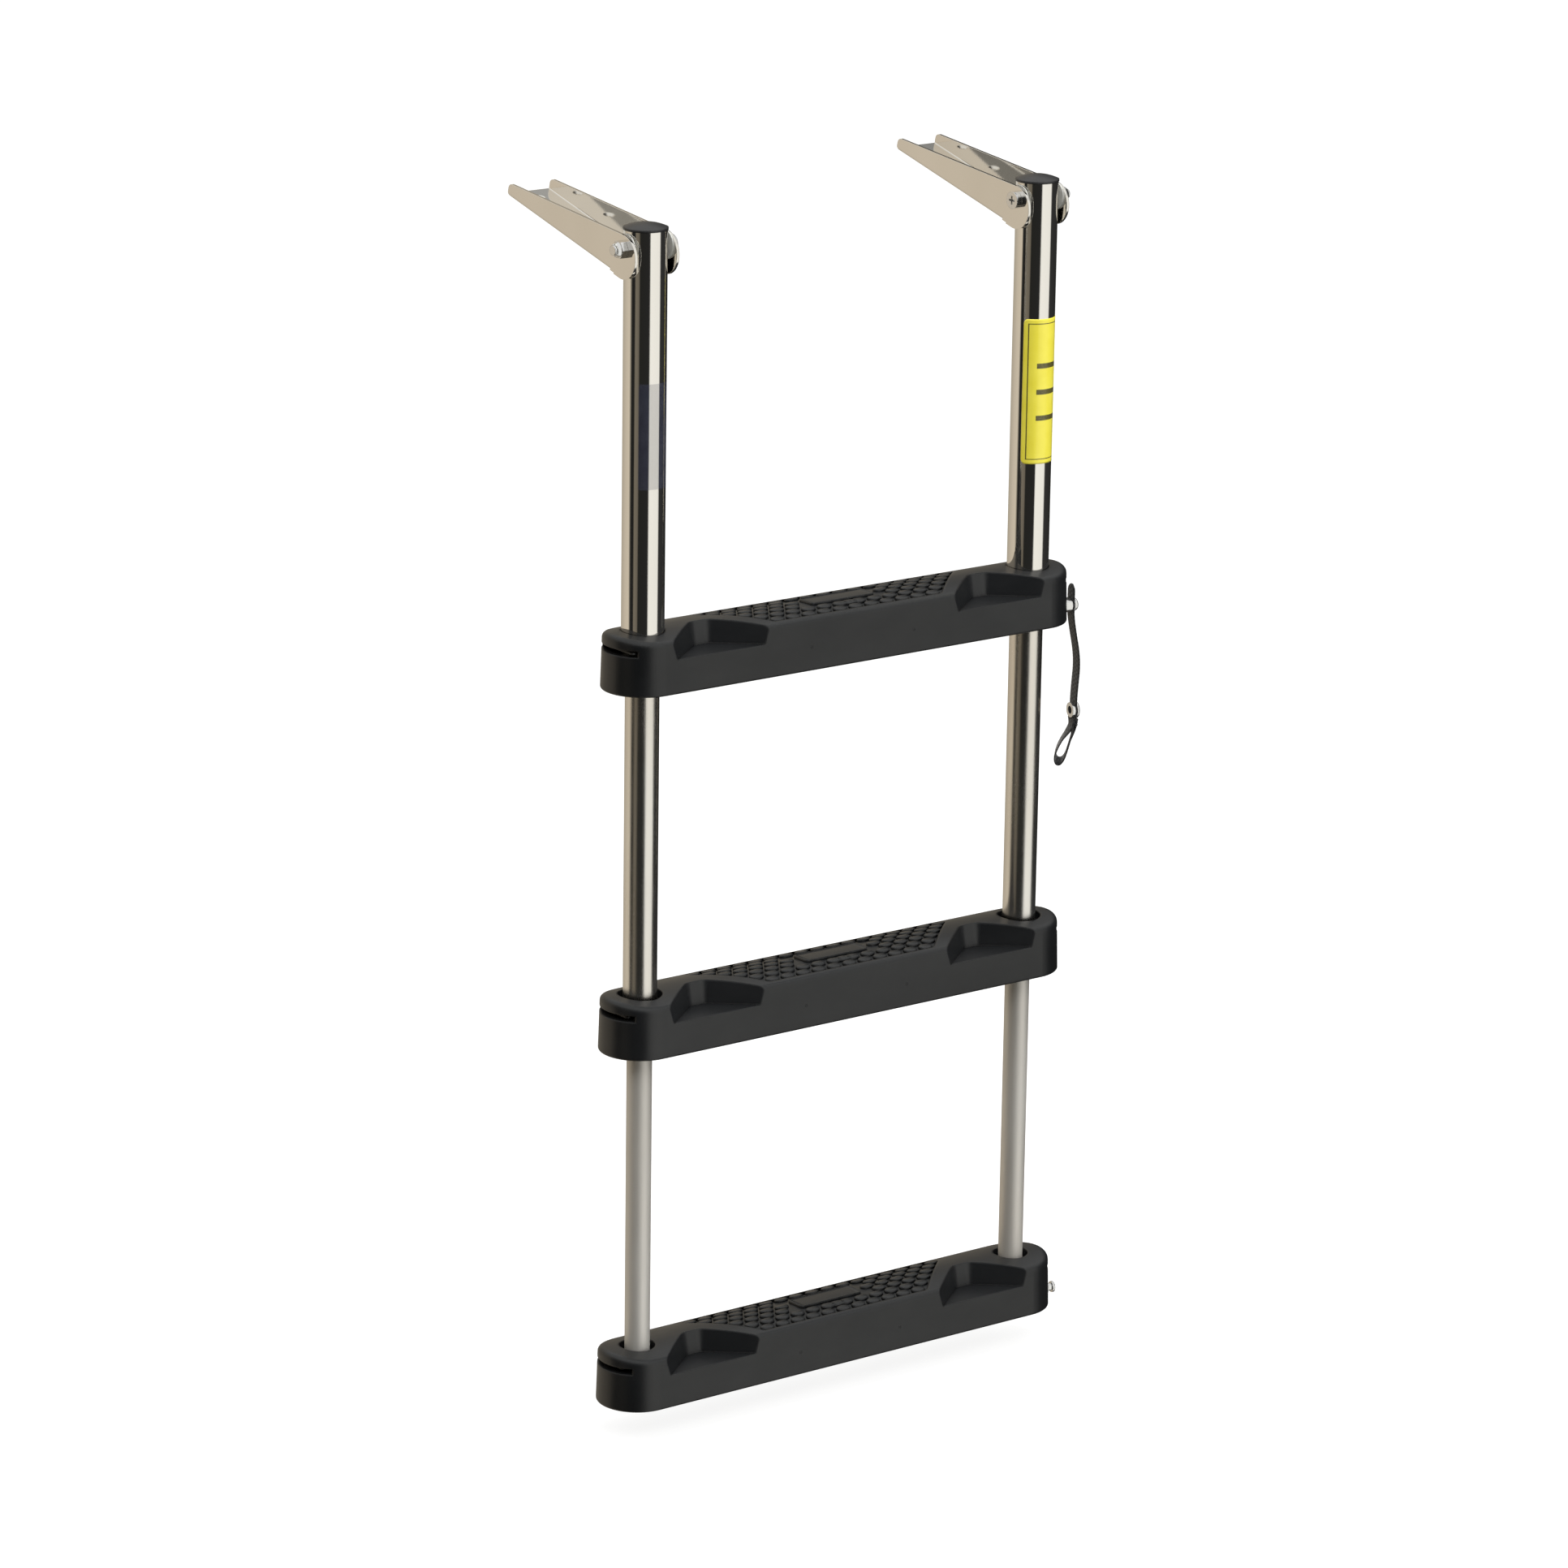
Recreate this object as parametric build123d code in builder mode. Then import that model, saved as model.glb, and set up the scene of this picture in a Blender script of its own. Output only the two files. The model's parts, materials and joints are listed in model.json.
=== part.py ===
from build123d import *
from math import cos, radians, sin, sqrt
import os

# Telescoping boat boarding ladder: two pairs of nested stainless tubes, three moulded steps and
# two folded brackets that bolt to a swim platform.  Millimetres.
# The origin is on the hinge axis, halfway between the brackets.
# +X runs along the steps, +Y points at the boat and +Z points up the tubes.

# Driving sizes
step_spacing = 305.0        # underside of one step to underside of the next
tube_spacing = 392.0        # axis to axis, across the ladder
hinge_height = 969.0        # hinge axis above the underside of the lowest step
tube_head = 14.0            # tube end above the hinge axis
tube_wall = 1.5
upper_tube_radius = 17.5
middle_tube_radius = 14.0
lower_tube_radius = 10.5
running_gap = 0.1           # radial, between a tube or collar and what it slides in
clear = 60.0                # depth of a cut that runs out into the open

# Steps
step_end_radius = 34.0      # half the depth of a step, at its underside
step_crest = 48.0           # highest line of the crowned top above the underside
crown_radius = 120.0
step_draft = 1.75           # degrees, narrower at the top
top_edge_round = 5.0
foot_edge_round = 2.0
ledge = 4.0                 # plastic under the end of a tube
tube_fit = 0.05             # radial, between a tube and its bore in a step
ledge_gap = 0.4             # radial, between a ledge and the tube that slides through it
recess_floor = 40.0         # recess round a tube, above the underside
upper_recess, middle_recess, lower_recess = 17.8, 18.5, 15.0
plug_bore = 3.0
pocket_floor = 28.7
pocket_start, pocket_end = 10.0, 99.0   # along the front face, from the tube axis inwards
pocket_depth = 30.0
pocket_back_width = 14.0
pocket_draft = 12.0
pocket_corner = 7.0
pocket_run_out = 16.0       # the cut carries on this far in front of the step
tread_depth = 2.0
tread_front_width, tread_back_width = 170.0, 280.0
tread_half_depth = 27.0
tread_corner = 5.0
field_low = 36.0            # start of the cut for the tread field, inside the step
slot_low, slot_high, slot_half_width = 33.0, 38.2, 24.5
slot_depth = 16.0           # past the tube axis, inwards
slot_length = 56.0
rib_pitch, rib = 42.0, 3.0
cell_depth = 27.5
cell_corner, cell_draft = 3.0, 1.0
top_skin = 10.0             # crest to the roof of a deep cell
pocket_skin = 4.2           # plastic under a finger pocket

# Tube caps
cap_rise = 5.5
dome_radius = 45.0
cap_flange = 0.6            # wider than the tube, radially
cap_skirt, cap_skirt_wall, cap_web = 7.0, 2.5, 1.5

# Slides
bush_length = 40.0
collar_length = 16.0
collar_stop_gap = 0.2       # collar above bush when the ladder is fully extended
clip_thickness = 1.5
clip_level = 34.9
groove_depth = 0.6
groove_gap = 0.2            # above and below a clip in its groove
clip_length, clip_shift, clip_corner = 38.0, 6.0, 3.0
clip_margin = 3.5           # clip wider than the tube, each side
clip_mouth = 20.0           # middle of the open mouth, from the tube axis
clip_fit = 0.05
lower_plug_length = 12.0

# Label and film, angles in degrees from +X about the tube axis
label_start, label_sweep, label_skin = 203.7, 164.0, 0.15
label_low, label_high = -220.8, -98.6
film_start, film_sweep, film_skin = 219.6, 131.0, 0.1
film_low, film_high = -192.6, -107.2

# Brackets
bracket_rise = 13.9         # degrees, web against the horizontal while the tubes are upright
sheet = 2.5
bracket_inner_width = 37.5
bracket_length = 163.0      # hinge axis to tip, along the web
web_bottom = -23.5          # outer face of the web, below the hinge axis
lobe_radius, lobe_drop = 17.8, 6.8
tip_radius, tip_height = 4.6, 11.4
web_start = 13.3            # the web's front edge stops the tubes
fold_outside, fold_inside = 3.2, 0.8
blank_height = 40.0         # of the channel before its cheeks are tapered
blank_half = 100.0          # covers the cheeks past the start of the web
cheek_flat_shift, cheek_flat = 8.0, 10.0
hole_positions = (103.0, 148.0)
screw_hole_radius, screw_sink_radius = 2.7, 4.6

# Hinge bolts, lock nuts and washers
bolt_radius = 4.0
bolt_beyond = 10.5          # bolt end past the outer cheek
head_radius, head_height = 7.2, 5.0
recess_arm, recess_width, recess_corner, recess_depth = 7.4, 1.6, 0.6, 2.8
nut_half_width, nut_height = 6.5, 5.5
collar_radius, collar_height, collar_taper = 6.1, 2.8, 18.0
thread_fit = 0.05
washer_radius, washer_thickness, washer_gap = 12.0, 1.0, 0.05

# Strap and its fittings, on the right-hand ends
fitting_angle = -12.0       # degrees from +X, about the tube axis
fitting_level = 10.0        # above the underside of a step
spot_face = 33.0            # from the tube axis
strap_width, strap_thickness = 12.7, 1.4
strap_offset = 41.0         # inner face of the strap at its screw, from the tube axis
snap_offset = 45.8          # inner face of the strap at the snap
snap_drop = 82.0            # snap below the underside of the upper step
loop_lean = 30.0            # degrees
loop_length, loop_radius = 38.0, 5.4
loop_shift = -1.5           # end of the loop, towards the tube
loop_below_snap = 14.0
tab_above = 18.0            # tab end above the screw
tab_below = 8.0             # start of the wave below the screw
wave_out, wave_level = 2.0, -38.0
wave_end = 9.0              # the strap is straight from here down, above the snap
fitting_radius, fitting_hole = 6.3, 2.2
spacer_chamfer = 0.5
spot_radius = 7.2
shank_radius, shank_bore, shank_length = 1.95, 2.0, 11.0
pilot_depth = 12.0
strap_washer_thickness = 1.0
screw_head_radius, screw_head_height, screw_head_round = 5.2, 3.2, 1.6
screw_recess_arm, screw_recess_width, screw_recess_corner = 5.4, 1.2, 0.4
screw_recess_start, screw_recess_depth = 3.4, 1.8
snap_cap_radius, snap_cap_height, snap_cap_round = 7.5, 2.6, 1.8
socket_radius, socket_bore, socket_height = 6.4, 3.4, 2.6
stud_round = 1.0
# radius and length of the stud's flange, neck and head
stud_stages = ((6.3, 2.0), (3.4, 5.0), (4.8, 2.6))

upper_z = 2 * step_spacing - hinge_height
middle_z = step_spacing - hinge_height
lower_z = -hinge_height
half_spacing = tube_spacing / 2
sides = (("left", -1), ("right", 1))
os.makedirs("parts", exist_ok=True)


def save(builder, name):
    builder.part.label = name
    export_step(builder.part, f"parts/{name}.step")


def make_rings(name, radius, bore, low, length):
    """Two equal rings, one on each tube axis."""
    with BuildPart() as rings:
        with BuildSketch(Plane.XY.offset(low)):
            with Locations((-half_spacing, 0), (half_spacing, 0)):
                Circle(radius)
                Circle(bore, mode=Mode.SUBTRACT)
        extrude(amount=length)
    save(rings, name)


def end_plane(level, offset=spot_face):
    """A plane that faces outwards on the right-hand end, with its x axis up."""
    out = Vector(cos(radians(fitting_angle)), sin(radians(fitting_angle)), 0)
    return Plane(Vector(half_spacing, 0, level) + out * offset, x_dir=(0, 0, 1), z_dir=out)


# Steps ------------------------------------------------------------------------------------

def tread_cutter(base):
    """The shallow field in the top of a step, its floor parallel to the crown."""
    with BuildPart() as cutter:
        with BuildSketch(Plane.XY.offset(base + field_low)):
            with BuildLine():
                Polyline(
                    (-tread_front_width / 2, -tread_half_depth),
                    (tread_front_width / 2, -tread_half_depth),
                    (tread_back_width / 2, tread_half_depth),
                    (-tread_back_width / 2, tread_half_depth),
                    close=True,
                )
            make_face()
            fillet(vertices(), tread_corner)
        extrude(amount=clear)
        with BuildSketch(Plane.YZ):
            with Locations((0, base + step_crest - crown_radius)):
                Circle(crown_radius - tread_depth)
        extrude(amount=tube_spacing, both=True, mode=Mode.SUBTRACT)
    return cutter.part


def make_step(name, base, tube_radius, inner_radius, collar_recess, fitting):
    cutter = tread_cutter(base)
    with BuildPart() as step:
        with BuildSketch(Plane.XY.offset(base)):
            SlotCenterToCenter(tube_spacing, 2 * step_end_radius)
        extrude(amount=step_crest + 2, taper=step_draft)
        with BuildSketch(Plane.YZ):
            with Locations((0, base + step_crest - crown_radius)):
                Circle(crown_radius)
        extrude(amount=tube_spacing, both=True, mode=Mode.INTERSECT)
        rims = step.edges().filter_by(lambda e: e.center().Z > base + step_crest - 10)
        fillet(rims, top_edge_round)
        fillet(step.faces().sort_by(Axis.Z)[0].edges(), foot_edge_round)

        # Finger pockets, open to the front and the top
        front = pocket_end - pocket_start
        widen = (front - pocket_back_width) / 2 / pocket_depth
        with BuildSketch(Plane.XY.offset(base + pocket_floor)) as pockets:
            for side in (-1, 1):
                middle = side * (half_spacing - (pocket_start + pocket_end) / 2)
                mouth = front / 2 + pocket_run_out * widen
                with BuildLine():
                    Polyline(
                        (middle - mouth, -step_end_radius - pocket_run_out),
                        (middle + mouth, -step_end_radius - pocket_run_out),
                        (middle + pocket_back_width / 2, pocket_depth - step_end_radius),
                        (middle - pocket_back_width / 2, pocket_depth - step_end_radius),
                        close=True,
                    )
                make_face()
            back_corners = pockets.vertices().group_by(Axis.Y)[-1]
            fillet(back_corners, pocket_corner)
        extrude(amount=pocket_depth, taper=-pocket_draft, mode=Mode.SUBTRACT)

        add(cutter, mode=Mode.SUBTRACT)

        # Hollow underside: deep cells in the middle, shallow ones below the pockets
        with BuildSketch(Plane.XY.offset(base)):
            with GridLocations(rib_pitch, cell_depth + rib, 4, 2):
                RectangleRounded(rib_pitch - rib, cell_depth, cell_corner)
        extrude(amount=step_crest - top_skin, taper=cell_draft, mode=Mode.SUBTRACT)
        with BuildSketch(Plane.XY.offset(base)):
            with Locations((-3 * rib_pitch, 0), (3 * rib_pitch, 0)):
                with GridLocations(rib_pitch, cell_depth + rib, 2, 2):
                    RectangleRounded(rib_pitch - rib, cell_depth, cell_corner)
        extrude(amount=pocket_floor - pocket_skin, taper=cell_draft, mode=Mode.SUBTRACT)

        # Tube bores, the smaller hole through the ledge, and the recess round the tube
        bores = ((tube_radius + tube_fit, ledge), (inner_radius, 0), (collar_recess, recess_floor))
        for radius, low in bores:
            with BuildSketch(Plane.XY.offset(base + low)):
                with Locations((-half_spacing, 0), (half_spacing, 0)):
                    Circle(radius)
            extrude(amount=clear, mode=Mode.SUBTRACT)

        # Slots for the retaining clips, open at the ends
        with BuildSketch(Plane.XY.offset(base + slot_low)):
            slot_middle = half_spacing - slot_depth + slot_length / 2
            with Locations((-slot_middle, 0), (slot_middle, 0)):
                Rectangle(slot_length, 2 * slot_half_width)
        extrude(amount=slot_high - slot_low, mode=Mode.SUBTRACT)

        if fitting:
            with BuildSketch(end_plane(base + fitting_level)):
                Circle(spot_radius)
            extrude(amount=clear, mode=Mode.SUBTRACT)
            with BuildSketch(end_plane(base + fitting_level)):
                Circle(shank_bore)
            extrude(amount=-pilot_depth, mode=Mode.SUBTRACT)
    save(step, name)


# name, underside, tube, hole through the ledge, recess round the tube, strap fitting
for row in (
    ("upper_step", upper_z, upper_tube_radius, middle_tube_radius + ledge_gap, upper_recess, True),
    ("middle_step", middle_z, middle_tube_radius, lower_tube_radius + ledge_gap, middle_recess, False),
    ("lower_step", lower_z, lower_tube_radius, plug_bore, lower_recess, True),
):
    make_step(*row)


# Tubes ------------------------------------------------------------------------------------

def make_tube(name, side, radius, low, high, base, hinge_hole):
    with BuildPart() as tube:
        with BuildSketch(Plane.XY.offset(low)):
            with Locations((side * half_spacing, 0)):
                Circle(radius)
                Circle(radius - tube_wall, mode=Mode.SUBTRACT)
        extrude(amount=high - low)
        # groove for the retaining clip
        with BuildSketch(Plane.XY.offset(base + clip_level - groove_gap)):
            with Locations((side * half_spacing, 0)):
                Circle(radius + groove_depth)
                Circle(radius - groove_depth, mode=Mode.SUBTRACT)
        extrude(amount=clip_thickness + 2 * groove_gap, mode=Mode.SUBTRACT)
        if hinge_hole:
            with BuildSketch(Plane.YZ):
                Circle(bolt_radius + running_gap)
            extrude(amount=side * tube_spacing, mode=Mode.SUBTRACT)
    save(tube, name)


tube_reach = ledge + bush_length + collar_stop_gap + collar_length + 2.0
for word, side in sides:
    make_tube(f"upper_tube_{word}", side, upper_tube_radius, upper_z + ledge, tube_head, upper_z, True)
    make_tube(
        f"middle_tube_{word}", side, middle_tube_radius,
        middle_z + ledge, upper_z + tube_reach, middle_z, False,
    )
    make_tube(
        f"lower_tube_{word}", side, lower_tube_radius,
        lower_z + ledge, middle_z + tube_reach, lower_z, False,
    )

# Guide bushes in the tube feet, slide collars on the heads of the inner tubes
for outer, base, radius, inner in (
    ("upper", upper_z, upper_tube_radius, middle_tube_radius),
    ("middle", middle_z, middle_tube_radius, lower_tube_radius),
):
    make_rings(
        f"{outer}_guide_bushes", radius - tube_wall, inner + running_gap, base + ledge, bush_length
    )

for inner, base, radius, outer_radius in (
    ("middle", upper_z, middle_tube_radius, upper_tube_radius),
    ("lower", middle_z, lower_tube_radius, middle_tube_radius),
):
    make_rings(
        f"{inner}_slide_collars", outer_radius - tube_wall - running_gap, radius,
        base + ledge + bush_length + collar_stop_gap, collar_length,
    )

make_rings(
    "lower_tube_plugs", lower_tube_radius - tube_wall, plug_bore, lower_z + ledge, lower_plug_length
)

# Domed caps in the heads of the upper tubes
cap_bore = upper_tube_radius - tube_wall
cap_radius = upper_tube_radius + cap_flange


def dome_height(distance):
    """Height of a cap above the tube end, at a distance from its axis."""
    return cap_rise - dome_radius + sqrt(dome_radius**2 - distance**2)


with BuildPart() as caps:
    for side in (-1, 1):
        axis_x = side * half_spacing
        with BuildSketch(Plane.XZ):
            with BuildLine():
                rim = Polyline(
                    (axis_x, tube_head - cap_web),
                    (axis_x + cap_bore - cap_skirt_wall, tube_head - cap_web),
                    (axis_x + cap_bore - cap_skirt_wall, tube_head - cap_skirt),
                    (axis_x + cap_bore, tube_head - cap_skirt),
                    (axis_x + cap_bore, tube_head), (axis_x + cap_radius, tube_head),
                    (axis_x + cap_radius, tube_head + dome_height(cap_radius)),
                )
                dome = ThreePointArc(
                    rim @ 1, (axis_x + cap_radius / 2, tube_head + dome_height(cap_radius / 2)),
                    (axis_x, tube_head + cap_rise),
                )
                Line(dome @ 1, rim @ 0)
            make_face()
        revolve(axis=Axis((axis_x, 0, 0), (0, 0, 1)))
save(caps, "tube_caps")

# Adhesive label on the right tube and clear film on the left one
for name, side, start, sweep, low, high, skin in (
    ("tube_label", 1, label_start, label_sweep, label_low, label_high, label_skin),
    ("tube_film", -1, film_start, film_sweep, film_low, film_high, film_skin),
):
    with BuildPart() as sticker:
        with BuildSketch(Plane.XY.offset(low)):
            with BuildLine():
                inner = CenterArc((side * half_spacing, 0), upper_tube_radius, start, sweep)
                outer = CenterArc((side * half_spacing, 0), upper_tube_radius + skin, start, sweep)
                Line(inner @ 0, outer @ 0)
                Line(inner @ 1, outer @ 1)
            make_face()
        extrude(amount=high - low)
    save(sticker, name)

# Retaining clips, pushed in from the step ends and round the grooves of the tubes
for name, base, radius in (
    ("upper_clips", upper_z, upper_tube_radius),
    ("middle_clips", middle_z, middle_tube_radius),
    ("lower_clips", lower_z, lower_tube_radius),
):
    with BuildPart() as clips:
        grip = radius - groove_depth + clip_fit
        for side in (-1, 1):
            with BuildSketch(Plane.XY.offset(base + clip_level)):
                with Locations((side * (half_spacing + clip_shift), 0)):
                    RectangleRounded(clip_length, 2 * (radius + clip_margin), clip_corner)
                with Locations((side * half_spacing, 0)):
                    Circle(grip, mode=Mode.SUBTRACT)
                with Locations((side * (half_spacing - clip_mouth), 0)):
                    Rectangle(2 * clip_mouth, 2 * grip, mode=Mode.SUBTRACT)
            extrude(amount=clip_thickness)
    save(clips, name)


# Brackets ---------------------------------------------------------------------------------

def bracket_plane(x, rise=bracket_rise):
    """Side view of a bracket: x along the web towards the boat, y square to it, at the hinge."""
    along = (0, cos(radians(rise)), sin(radians(rise)))
    return Plane((x, 0, 0), x_dir=along, z_dir=(1, 0, 0))


bracket_outer_width = bracket_inner_width + 2 * sheet
web_top = web_bottom + sheet

# A cheek from the side: round the hinge, tapering to a blunt tip, straight below
with BuildSketch() as cheek:
    with Locations((0, -lobe_drop)):
        Circle(lobe_radius)
    with Locations((bracket_length - tip_radius, web_bottom + tip_radius),
                   (bracket_length - tip_radius, web_bottom + tip_height - tip_radius)):
        Circle(tip_radius)
    make_hull()
    with Locations((bracket_length / 2 + cheek_flat_shift, web_bottom - cheek_flat / 2)):
        Rectangle(bracket_length, cheek_flat, mode=Mode.SUBTRACT)

for word, side in sides:
    web = bracket_plane(side * half_spacing)
    fold_start = Plane(
        web.from_local_coords((web_start, web_bottom, 0)), x_dir=(1, 0, 0), z_dir=web.x_dir
    )
    with BuildPart() as bracket:
        # folded channel: the section, then the taper cut from it
        with BuildSketch(fold_start):
            with Locations((0, -blank_height / 2)):
                outside = Rectangle(bracket_outer_width, blank_height)
            fillet(outside.vertices().group_by(Axis.Y)[-1], fold_outside)
            with Locations((0, -blank_height / 2 - sheet)):
                RectangleRounded(bracket_inner_width, blank_height, fold_inside, mode=Mode.SUBTRACT)
        extrude(amount=bracket_length)
        with BuildSketch(web.offset(-bracket_outer_width)):
            add(cheek.sketch)
        extrude(amount=2 * bracket_outer_width, mode=Mode.INTERSECT)
        # cheeks round the hinge
        for inner_face in (-bracket_outer_width / 2, bracket_inner_width / 2):
            with BuildSketch(web.offset(inner_face)):
                add(cheek.sketch)
                with Locations((web_start + blank_half, 0)):
                    Rectangle(2 * blank_half, 2 * blank_half, mode=Mode.SUBTRACT)
            extrude(amount=sheet)
        # hinge bolt holes
        with BuildSketch(web.offset(-bracket_outer_width)):
            Circle(bolt_radius + running_gap)
        extrude(amount=2 * bracket_outer_width, mode=Mode.SUBTRACT)
        # countersunk holes for the deck screws
        deck = Plane(web.from_local_coords((0, web_top, 0)), x_dir=web.x_dir, z_dir=web.y_dir)
        with Locations(deck):
            with Locations(*[(place, 0) for place in hole_positions]):
                CounterSinkHole(screw_hole_radius, screw_sink_radius)
    save(bracket, f"bracket_{word}")

# Hinge bolts: heads inboard, nuts outboard
head_face = bracket_outer_width / 2
with BuildPart() as bolts:
    for side in (-1, 1):
        start = Plane((side * (half_spacing - head_face), 0, 0), x_dir=(0, 1, 0), z_dir=(side, 0, 0))
        with BuildSketch(start):
            Circle(bolt_radius)
        extrude(amount=bracket_outer_width + bolt_beyond)
        with BuildSketch(start):
            Circle(head_radius)
        extrude(amount=-head_height)
        with BuildSketch(start.offset(-head_height)):
            RectangleRounded(recess_arm, recess_width, recess_corner)
            RectangleRounded(recess_width, recess_arm, recess_corner)
        extrude(amount=recess_depth, mode=Mode.SUBTRACT)
save(bolts, "pivot_bolts")

# Lock nuts: hexagon, then the domed collar that holds the nylon ring
nut_face = bracket_outer_width / 2
with BuildPart() as nuts:
    for side in (-1, 1):
        seat = Plane(
            (side * (half_spacing + nut_face), 0, 0), x_dir=(0, 1, 0), z_dir=(side, 0, 0)
        )
        with BuildSketch(seat):
            RegularPolygon(nut_half_width, 6, major_radius=False)
        extrude(amount=nut_height)
        with BuildSketch(seat.offset(nut_height)):
            Circle(collar_radius)
        extrude(amount=collar_height, taper=collar_taper)
        with BuildSketch(seat):
            Circle(bolt_radius + thread_fit)
        extrude(amount=clear, mode=Mode.SUBTRACT)
save(nuts, "pivot_lock_nuts")

# Nylon washers between each tube and the cheeks of its bracket
with BuildPart() as washers:
    for side in (-1, 1):
        for face in (-1, 1):
            centre = side * half_spacing + face * (bracket_inner_width / 2 - washer_thickness / 2)
            with BuildSketch(Plane.YZ.offset(centre - washer_thickness / 2 - face * washer_gap)):
                Circle(washer_radius)
                Circle(bolt_radius + running_gap, mode=Mode.SUBTRACT)
            extrude(amount=washer_thickness)
save(washers, "pivot_washers")


# Strap and snap ---------------------------------------------------------------------------

screw_z = upper_z + fitting_level
snap_z = upper_z - snap_drop

# Metal spacer between the step and the strap, then the screw that clamps the strap
with BuildPart() as spacer:
    with BuildSketch(end_plane(screw_z)):
        Circle(fitting_radius)
        Circle(fitting_hole, mode=Mode.SUBTRACT)
    extrude(amount=strap_offset - spot_face)
    chamfer(spacer.edges().filter_by(GeomType.CIRCLE).group_by(SortBy.RADIUS)[-1], spacer_chamfer)
save(spacer, "strap_spacer")

screw_seat = strap_offset + strap_thickness
head_seat = screw_seat + strap_washer_thickness
with BuildPart() as washer:
    with BuildSketch(end_plane(screw_z, screw_seat)):
        Circle(fitting_radius)
        Circle(fitting_hole, mode=Mode.SUBTRACT)
    extrude(amount=strap_washer_thickness)
save(washer, "strap_washer")

with BuildPart() as screw:
    with BuildSketch(end_plane(screw_z, head_seat)):
        Circle(screw_head_radius)
    extrude(amount=screw_head_height)
    fillet(screw.edges().filter_by(GeomType.CIRCLE).sort_by(Axis.X)[-1], screw_head_round)
    with BuildSketch(end_plane(screw_z, head_seat + screw_recess_start)):
        RectangleRounded(screw_recess_arm, screw_recess_width, screw_recess_corner)
        RectangleRounded(screw_recess_width, screw_recess_arm, screw_recess_corner)
    extrude(amount=-screw_recess_depth, mode=Mode.SUBTRACT)
    with BuildSketch(end_plane(screw_z, head_seat)):
        Circle(shank_radius)
    extrude(amount=-(screw_seat - spot_face + shank_length))
save(screw, "strap_screw")

# Webbing: from the tab above the screw, down past the snap, then the folded hand loop.
# In the hanging plane x is outwards from the tube axis and y is up.
out = end_plane(0).z_dir
across = Vector(0, 0, 1).cross(out)
hang = Plane((half_spacing, 0, upper_z), x_dir=out, z_dir=across * -1)
half_web = strap_thickness / 2
loop_top = -snap_drop - loop_below_snap
lean = radians(loop_lean)
loop_plane = Plane(
    hang.from_local_coords((snap_offset + half_web, loop_top, 0)),
    x_dir=out, z_dir=across * -cos(lean) - Vector(0, 0, 1) * sin(lean),
)
with BuildPart() as strap:
    with BuildSketch(hang):
        with BuildLine():
            tab = Line(
                (strap_offset + half_web, fitting_level + tab_above),
                (strap_offset + half_web, fitting_level - tab_below),
            )
            wave = Spline(
                tab @ 1, (snap_offset + wave_out, wave_level),
                (snap_offset + half_web, wave_end - snap_drop),
                tangents=((0, -1), (0, -1)),
            )
            Line(wave @ 1, (snap_offset + half_web, loop_top))
        trace(line_width=strap_thickness)
    extrude(amount=strap_width / 2, both=True)
    with BuildSketch(loop_plane) as loop:
        Circle(strap_thickness)
        with Locations((loop_shift, -loop_length)):
            Circle(loop_radius)
        make_hull()
        offset(amount=-strap_thickness, mode=Mode.SUBTRACT)
    extrude(amount=strap_width / 2, both=True)
    with BuildSketch(end_plane(screw_z, strap_offset - strap_thickness)):
        Circle(fitting_hole)
    extrude(amount=3 * strap_thickness, mode=Mode.SUBTRACT)
save(strap, "storage_strap")

# Snap: the cap on the outer face of the strap, the socket ring on the inner face
snap_face = snap_offset + strap_thickness
with BuildPart() as snap:
    with BuildSketch(end_plane(snap_z, snap_face)):
        Circle(snap_cap_radius)
    extrude(amount=snap_cap_height)
    fillet(snap.edges().filter_by(GeomType.CIRCLE).sort_by(Axis.X)[-1], snap_cap_round)
    with BuildSketch(end_plane(snap_z, snap_offset)):
        Circle(socket_radius)
        Circle(socket_bore, mode=Mode.SUBTRACT)
    extrude(amount=-socket_height)
save(snap, "strap_snap")

# Snap stud on the lowest step: flange, neck, head and the shank in the plastic
stud_z = lower_z + fitting_level
with BuildPart() as stud:
    with BuildSketch(end_plane(stud_z)):
        Circle(shank_radius)
    extrude(amount=-shank_length)
    start = spot_face
    for radius, length in stud_stages:
        with BuildSketch(end_plane(stud_z, start)):
            Circle(radius)
        extrude(amount=length)
        start += length
    fillet(stud.edges().filter_by(GeomType.CIRCLE).sort_by(Axis.X)[-1], stud_round)
save(stud, "snap_stud")
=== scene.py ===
import json
import math

import bpy
from mathutils import Matrix, Vector


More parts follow.
